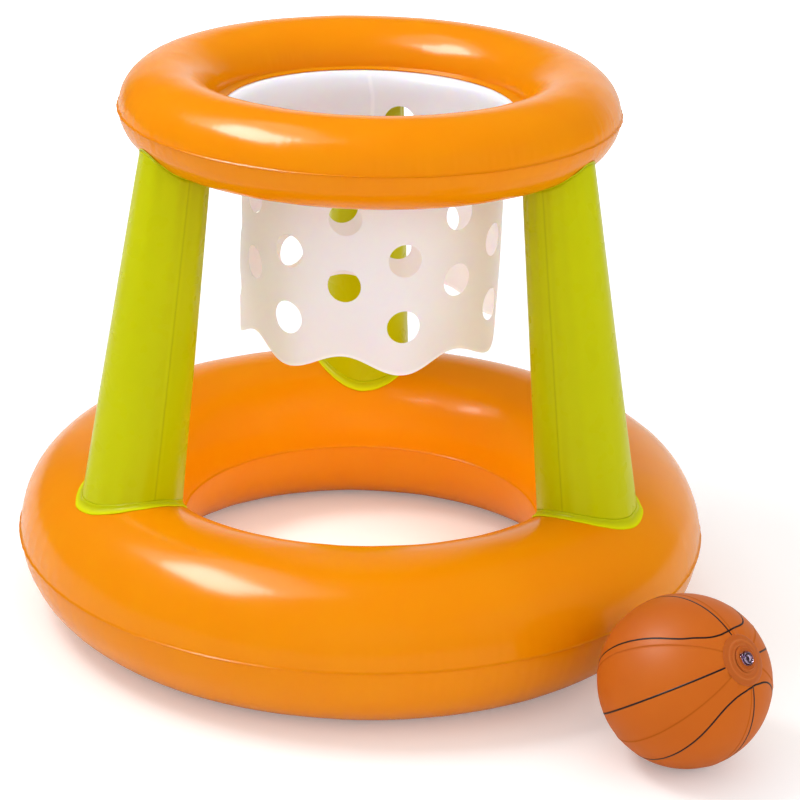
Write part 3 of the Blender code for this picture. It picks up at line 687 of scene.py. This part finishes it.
net_mesh = grow(perforation_tree(), {
    "Lobes": float(LOBES), "Hole Radius": 0.0155, "Net Radius": NET_RADIUS, "Top": NET_TOP, "Row Pitch": 0.0635,
    "Long First Drop": 0.047, "Short First Drop": 0.0725, "First Bearing": math.radians(NET_FIRST_BEARING),
    "Axis X": AXIS.x + NET_LEAN, "Axis Y": AXIS.y, "Material": NET_FILM}, start=net_film())
net_mesh.shade_smooth()
net_mesh.set_sharp_from_angle(angle=math.radians(50))
net = place_piece(net_mesh, "net_film", "hoop_frame", ["net_panel"], NET_FILM)


# Ball: six gores, round patches, printed lines

GORE_ANGLE = 360 / GORES
GORE_ROWS = 100
GORE_COLUMNS = 36
GORE_CROWDING = 0.1
SEAM_HEIGHT, SEAM_REACH = 0.00035, 0.0012
POLE_FOLD_HEIGHT = 0.0010
PATCH_ROWS = 45
PATCH_SIDES = 90
PATCH_LIFT, PATCH_UNDERSIDE = 0.0008, 0.0004
# The share of the patch's radius at which each pressed ring runs, its half width as a share, and its height
PATCH_RINGS = ((0.75, 0.03, 0.00012), (0.55, 0.035, 0.00018))
INK_LIFT = 0.00003

BALL_VALVE_FRAME = valve_frame("ball")
BALL_MIDDLE = BALL_VALVE_FRAME @ Vector((0, 0, -BALL_CREST))
BALL_FRAME = Matrix.Translation(BALL_MIDDLE) @ BALL_VALVE_FRAME.to_3x3().to_4x4()


def on_ball(longitude, colatitude, radius=BALL_RADIUS):
    """A point on the ball, with angles in degrees from the valve's pole."""
    a, c = math.radians(longitude), math.radians(colatitude)
    return BALL_FRAME @ Vector((radius * math.sin(c) * math.cos(a), radius * math.sin(c) * math.sin(a),
                                radius * math.cos(c)))


def ball_lift(longitude, colatitude):
    """How far the blown film stands off the ball's sphere, and how near it is to a seam."""
    turn = math.radians(longitude)
    from_seam = math.radians(abs((longitude + GORE_ANGLE / 2) % GORE_ANGLE - GORE_ANGLE / 2))
    near = math.exp(-BALL_RADIUS * math.sin(math.radians(colatitude)) * from_seam / SEAM_REACH)
    pole = min(colatitude, 180 - colatitude)
    fold = noise.noise(Vector((math.cos(turn) * 5, math.sin(turn) * 5, colatitude * 0.02)))
    return SEAM_HEIGHT * near + POLE_FOLD_HEIGHT * fold * math.exp(-max(0, pole - 16) / 9), near


def gore(index):
    """One gore, with its columns closer by the seams."""
    rows, welds = [], []
    for i in range(GORE_ROWS + 1):
        colatitude = 5.0 + 170.0 * i / GORE_ROWS
        row, weld = [], []
        for j in range(GORE_COLUMNS + 1):
            share = j / GORE_COLUMNS
            share -= GORE_CROWDING * math.sin(2 * math.pi * share)
            longitude = GORE_ANGLE * (index + share)
            lift, near = ball_lift(longitude, colatitude)
            row.append(on_ball(longitude, colatitude, BALL_RADIUS + lift))
            weld.append(max(0.0, near - 0.3))
        rows.append(row)
        welds.append(weld)
    return walled(outwards(skin(rows, weld=welds)))


for index in range(GORES):
    place_piece(gore(index), f"ball_gore_film_{index + 1}", "ball", [f"ball_gore_{index + 1}"],
                BALL_FILM)


def patch(pole, inner):
    """A round patch with two pressed rings, welded over the ends of the gores."""
    line = []
    for i in range(PATCH_ROWS + 1):
        radius = inner + (BALL_PATCH_RADIUS - inner) * i / PATCH_ROWS
        share = radius / BALL_PATCH_RADIUS
        lift, mark = PATCH_LIFT, 0.0
        for middle, width, height in PATCH_RINGS:
            lift += height * math.exp(-((share - middle) / width) ** 2)
            mark += math.exp(-((share - middle) / 0.04) ** 2)
        lift -= (PATCH_LIFT - PATCH_UNDERSIDE) * math.exp(-(1 - share) / 0.02)
        line.append((math.degrees(math.asin(radius / BALL_RADIUS)), lift, mark))
    line += [(angle, PATCH_UNDERSIDE, 0.0) for angle, _, _ in (line[-1], line[0])]
    rows, welds = [], []
    for angle, lift, mark in line:
        colatitude = angle if pole > 0 else 180 - angle
        rows.append([on_ball(k * 360 / PATCH_SIDES, colatitude, BALL_RADIUS + lift) for k in range(PATCH_SIDES)])
        welds.append([min(1.0, mark)] * PATCH_SIDES)
    return outwards(skin(rows, around=True, closed=True, weld=welds))


place_piece(patch(1, 0.0067), "ball_valve_patch_disc", "ball", ["ball_valve_patch"], PATCH)
place_piece(patch(-1, 0.0002), "ball_end_patch_disc", "ball", ["ball_end_patch"], PATCH)


def printed_line_tree():
    """Lays a thin band of ink along each curve, flat on the ball."""
    tree, given = new_tree("printed line", ["Width", "Thickness", "Middle X", "Middle Y", "Middle Z"],
                           geometry=True)
    middle = node(tree, "ShaderNodeCombineXYZ", [given["Middle X"], given["Middle Y"], given["Middle Z"]])
    out = node(tree, "ShaderNodeVectorMath", [node(tree, "GeometryNodeInputPosition"), middle],
               operation="SUBTRACT")
    path = node(tree, "GeometryNodeMeshToCurve", {"Mesh": given["Geometry"]})
    upright = node(tree, "GeometryNodeSetCurveNormal", {"Curve": path, "Normal": out}, mode="FREE")
    band = node(tree, "GeometryNodeCurvePrimitiveQuadrilateral", {"Width": given["Thickness"],
                                                                  "Height": given["Width"]})
    ribbon = node(tree, "GeometryNodeCurveToMesh", {"Curve": upright, "Profile Curve": band, "Fill Caps": True})
    close_tree(tree, ribbon, given["Material"])
    return tree


# The printed lines as longitude and angle from the valve's end: four meridians from patch to patch, and two loops
# that bend round each end
MERIDIANS = (36, 126, 216, 306)
LOOPS = ([(174, 90), (174, 68), (174, 48), (170, 37), (163, 28), (147, 22.3), (125, 21), (105, 23), (92, 26),
          (83, 31), (80, 38), (81, 50), (82, 70), (82, 90)],
         [(260, 90), (260, 66), (260, 45), (261.5, 36), (265.5, 29.5), (272, 24.8), (283, 21), (309, 18.2), (328, 20),
          (341, 23.4), (350, 30), (353, 40), (353, 60), (353, 90)])


def smoothed(points, steps):
    """A closed line that runs through all the points and is rounded between them."""
    count = len(points)
    line = []
    for i in range(count):
        before, start, end, after = (points[(i + k) % count] for k in (-1, 0, 1, 2))
        for step in range(steps):
            t = step / steps
            bend = 2 * before - 5 * start + 4 * end - after + t * (3 * (start - end) + after - before)
            line.append(start + 0.5 * t * (end - before + t * bend))
    return line


def onto_film(point):
    """The nearest place on the ball's blown film."""
    local = BALL_FRAME.inverted() @ point
    longitude = math.degrees(math.atan2(local.y, local.x))
    colatitude = math.degrees(local.angle(Vector((0, 0, 1))))
    return on_ball(longitude, colatitude, BALL_RADIUS + ball_lift(longitude, colatitude)[0] + INK_LIFT)


def ball_lines():
    """All the printed lines, laid on the ball's film."""
    strokes = [([on_ball(turn, 17.6 + 144.8 * i / 80) for i in range(81)], False) for turn in MERIDIANS]
    for loop in LOOPS:
        upper = [on_ball(longitude, angle) for longitude, angle in loop]
        lower = [on_ball(longitude, 180 - angle) for longitude, angle in reversed(loop)]
        strokes.append((smoothed(upper + lower[1:-1], 24), True))
    made = bmesh.new()
    for stroke, closed in strokes:
        corners = [made.verts.new(onto_film(point)) for point in stroke]
        pairs = list(zip(corners, corners[1:])) + ([(corners[-1], corners[0])] if closed else [])
        for pair in pairs:
            made.edges.new(pair)
    return grow(printed_line_tree(), {"Width": 0.0016, "Thickness": 0.00012, "Middle X": BALL_MIDDLE.x,
                                      "Middle Y": BALL_MIDDLE.y, "Middle Z": BALL_MIDDLE.z, "Material": INK},
                start=settle(made, "lines"))


place_piece(ball_lines(), "ball_printed_lines", "ball")


# Valves: moulded seat, stem, stopper on its strap, and check flap

MOULD_ROUNDING = 0.00022
BLOCK_BEVEL = 0.00018
SIDES = 56


def rounded(outline, size, closed):
    """The outline with each corner eased by a short curve."""
    line = []
    for i, corner in enumerate(outline):
        here = Vector(corner)
        if not closed and i in (0, len(outline) - 1):
            line.append(here)
            continue
        before, after = Vector(outline[i - 1]) - here, Vector(outline[(i + 1) % len(outline)]) - here
        start = here + before.normalized() * min(size, before.length / 2)
        end = here + after.normalized() * min(size, after.length / 2)
        line += [start.lerp(here, t).lerp(here.lerp(end, t), t) for t in (0, 0.33, 0.67, 1)]
    return line


def moulded(matrix, outline, closed, block=None):
    """A turned shape about the valve's axis, with an eased block between two corners moulded on to it."""
    rows = []
    for radius, height in rounded(outline, MOULD_ROUNDING, closed):
        turns = [2 * math.pi * k / SIDES for k in range(SIDES)]
        rows.append([Vector((radius * math.cos(turn), radius * math.sin(turn), height)) for turn in turns])
    made = bmesh.new()
    made.from_mesh(skin(rows, around=True, closed=closed))
    bmesh.ops.remove_doubles(made, verts=made.verts, dist=0.000001)
    if block:
        low, high = (Vector(corner) for corner in block)
        size, middle = high - low, (high + low) / 2
        cube = bmesh.ops.create_cube(made, size=1, matrix=Matrix.Translation(middle) @ Matrix.Diagonal((*size, 1)))
        edges = list({edge for corner in cube["verts"] for edge in corner.link_edges})
        bmesh.ops.bevel(made, geom=edges, offset=BLOCK_BEVEL, segments=3, profile=0.5, affect="EDGES")
    bmesh.ops.recalc_face_normals(made, faces=made.faces)
    made.transform(matrix)
    mesh = settle(made, "moulded")
    mesh.shade_smooth()
    mesh.set_sharp_from_angle(angle=math.radians(40))
    return mesh


def seat_outline():
    """The seat's half section as radius and height: a disc with a pressed weld ring, and the neck under it."""
    weld = [(0.0090, SEAT_TOP), (0.0094, SEAT_TOP + 0.0004), (0.0099, SEAT_TOP + 0.0004), (0.0103, SEAT_TOP)]
    return [(NECK_BORE_RADIUS, SEAT_TOP), *weld, (SEAT_RADIUS, SEAT_TOP - 0.0003), (SEAT_RADIUS, FILM),
            (NECK_RADIUS, FILM), (NECK_RADIUS, NECK_LOW), (NECK_BORE_RADIUS, NECK_LOW)]


def stem_outline():
    """The stem's half section: a rimmed tube with three ribs that grip the neck."""
    ribs = []
    for height in (-0.0040, -0.0075, -0.0110):
        ribs += [(STEM_RADIUS, height + 0.0006), (STEM_RADIUS + 0.0002, height), (STEM_RADIUS, height - 0.0006)]
    return [(STEM_BORE_RADIUS, STEM_RIM_TOP), (STEM_RIM_RADIUS, STEM_RIM_TOP), (STEM_RIM_RADIUS, STEM_RIM_LOW),
            (STEM_RADIUS, STEM_RIM_LOW), *ribs, (STEM_RADIUS, STEM_LOW), (STEM_BORE_RADIUS, STEM_LOW)]


STOPPER_OUTLINE = [(0, STOPPER_TOP - 0.0005), (0.0024, STOPPER_TOP - 0.0005), (0.0029, STOPPER_TOP),
                   (STOPPER_RADIUS, STOPPER_TOP), (STOPPER_RADIUS, STOPPER_LOW), (SPIGOT_RADIUS, STOPPER_LOW),
                   (SPIGOT_RADIUS - 0.0004, SPIGOT_LOW), (0, SPIGOT_LOW)]
FLAP_LOW = FLAP_TOP - 0.0005
FLAP_OUTLINE = [(0, FLAP_TOP), (FLAP_RADIUS, FLAP_TOP), (FLAP_RADIUS, FLAP_LOW), (0, FLAP_LOW)]
STEM_LUG = (-0.0084, -0.0015, STEM_RIM_LOW), (-0.0058, 0.0015, STEM_RIM_TOP)
STOPPER_STRAP = (-0.0072, -0.0015, STOPPER_LOW), (-0.0040, 0.0015, STOPPER_LOW + 0.0008)
FLAP_HINGE = (0.0038, -0.0012, FLAP_LOW), (0.0048, 0.0012, FLAP_TOP)

# The ball's seat has the brown of its patch
for prefix, carrier in (("base", "hoop_frame"), ("hoop", "hoop_frame"), ("ball", "ball")):
    matrix = valve_frame(prefix)
    for part, body, outline, closed, block in (
            ("seat", carrier, seat_outline(), True, None),
            ("stem", f"{prefix}_stem", stem_outline(), True, STEM_LUG),
            ("stopper", f"{prefix}_stopper", STOPPER_OUTLINE, False, STOPPER_STRAP),
            ("flap", f"{prefix}_flap", FLAP_OUTLINE, False, FLAP_HINGE)):
        place_piece(moulded(matrix, outline, closed, block), f"{prefix}_valve_moulded_{part}", body,
                    [f"{prefix}_valve_{part}"], PATCH if body == "ball" else CLEAR)


# Stage, lamps and camera

FLOOR_DROP = 0.0002
AIM_HEIGHT = 0.25
GLOW_HEIGHT = 0.13


def stage():
    """A sheet of white paper that brightens with the distance, so that no horizon shows."""
    made = bmesh.new()
    bmesh.ops.create_circle(made, cap_ends=True, segments=64, radius=9.0)
    mesh = settle(made, "floor")
    floor = add("floor", mesh)
    floor.location.z = -FLOOR_DROP
    white, tree = new_material("studio_paper", bare=True)
    paper = node(tree, "ShaderNodeBsdfDiffuse", {"Color": (0.88, 0.88, 0.88, 1)})
    away = node(tree, "ShaderNodeVectorMath", [node(tree, "ShaderNodeTexCoord").outputs["Object"]],
                operation="LENGTH").outputs["Value"]
    glow = node(tree, "ShaderNodeMapRange", {"Value": away, "From Min": 0.9, "From Max": 2.2, "To Min": 0.2,
                                             "To Max": 1.0}, interpolation_type="SMOOTHSTEP")
    lift = node(tree, "ShaderNodeEmission", {"Color": (1, 1, 1, 1), "Strength": glow})
    seen = node(tree, "ShaderNodeLightPath").outputs["Is Camera Ray"]
    lifted = node(tree, "ShaderNodeAddShader", [paper, lift])
    mixed = node(tree, "ShaderNodeMixShader", [seen, paper, lifted])
    node(tree, "ShaderNodeOutputMaterial", {"Surface": mixed})
    mesh.materials.append(white)


def drapes():
    """Dark cloth all round that only the gloss sees, open behind the hoop on a white wall with soft edges."""
    made = bmesh.new()
    bmesh.ops.create_uvsphere(made, u_segments=48, v_segments=24, radius=6.0)
    mesh = settle(made, "drapes")
    room = add("drapes", mesh)
    cloth, tree = new_material("studio_drape", bare=True)
    place = node(tree, "ShaderNodeTexCoord").outputs["Object"]
    # The wall's upper edge, then its sides
    edges = []
    for way, start, end in (((0.0, -0.3, 1.0), 2.3, 0.3), ((0.233, 0.972, 0.0), 3.9, 5.8)):
        along = node(tree, "ShaderNodeVectorMath", [place, way], operation="DOT_PRODUCT").outputs["Value"]
        edges.append(node(tree, "ShaderNodeMapRange", {"Value": along, "From Min": start, "From Max": end},
                          interpolation_type="SMOOTHSTEP"))
    wall = node(tree, "ShaderNodeMath", edges, operation="MULTIPLY")
    tone = node(tree, "ShaderNodeMapRange", {"Value": wall, "To Min": 0.06, "To Max": 1.0})
    seen = node(tree, "ShaderNodeEmission", {"Color": (1, 1, 1, 1), "Strength": tone})
    node(tree, "ShaderNodeOutputMaterial", {"Surface": seen})
    mesh.materials.append(cloth)
    for sight in ("camera", "diffuse", "transmission", "shadow", "volume_scatter"):
        setattr(room, f"visible_{sight}", False)


def lamp(name, direction, distance, width, height, power, lights=True, mirrored=True):
    """A softbox that faces the middle of the hoop. It lights the set, shows in the gloss, or does both."""
    data = bpy.data.lights.new(name, "AREA")
    data.shape = "RECTANGLE"
    data.size, data.size_y, data.energy = width, height, power
    made = add(name, data)
    way = Vector(direction).normalized()
    made.location = AXIS + Vector((0, 0, AIM_HEIGHT)) + way * distance
    made.rotation_euler = way.to_track_quat("Z", "Y").to_euler()
    made.visible_diffuse = lights
    made.visible_glossy = mirrored


def well_glow():
    """The light that soaks through the base ring's films and fills the well between the legs."""
    data = bpy.data.lights.new("well_glow", "POINT")
    data.energy, data.shadow_soft_size, data.color = 0.5, 0.09, (1.0, 0.8, 0.6)
    made = add("well_glow", data)
    made.location = AXIS + Vector((0, 0, GLOW_HEIGHT))
    made.visible_camera = made.visible_glossy = made.visible_transmission = False


def sky():
    """An even soft light, seen as plain white."""
    world = bpy.data.worlds.new("studio")
    world.use_nodes = True
    tree = world.node_tree
    tree.nodes.clear()
    path = node(tree, "ShaderNodeLightPath")
    seen = node(tree, "ShaderNodeMath", [path.outputs["Is Camera Ray"], path.outputs["Is Glossy Ray"]],
                operation="MAXIMUM")
    seen = node(tree, "ShaderNodeMath", [seen, path.outputs["Is Transmission Ray"]], operation="MAXIMUM")
    soft = node(tree, "ShaderNodeBackground", {"Color": (1, 1, 1, 1), "Strength": 0.86})
    white = node(tree, "ShaderNodeBackground", {"Color": (1, 1, 1, 1), "Strength": 1.0})
    node(tree, "ShaderNodeOutputWorld", {"Surface": node(tree, "ShaderNodeMixShader", [seen, soft, white])})
    bpy.context.scene.world = world


stage()
drapes()
sky()
well_glow()
lamp("key_softbox", (-0.53, -0.06, 0.85), 2.4, 1.0, 0.8, 24, mirrored=False)
lamp("key_glare", (-0.55, -0.18, 0.81), 2.4, 1.15, 0.75, 115, lights=False)
lamp("key_halo", (-0.47, -0.1, 0.88), 2.45, 1.9, 1.6, 50, lights=False)
lamp("front_fill", (0.05, -0.93, 0.3), 3.2, 2.2, 1.6, 12, mirrored=False)
lamp("right_fill", (0.9, -0.55, 0.4), 3.2, 2.6, 1.8, 14, mirrored=False)

# The camera that was fitted to the photograph
CAMERA_PLACE = (0.0197, -2.2381, 1.1039)
CAMERA_DIP = 0.3778
CAMERA_ROLL = 0.0277
camera = add("camera", bpy.data.cameras.new("camera"))
camera.data.lens = 112.95
camera.data.sensor_width = 36
camera.matrix_world = (Matrix.Translation(CAMERA_PLACE) @ Matrix.Rotation(math.pi / 2 - CAMERA_DIP, 4, "X")
                       @ Matrix.Rotation(CAMERA_ROLL, 4, "Z"))
camera.data.clip_end = 50
bpy.context.scene.camera = camera
bpy.context.scene.view_settings.view_transform = "Standard"
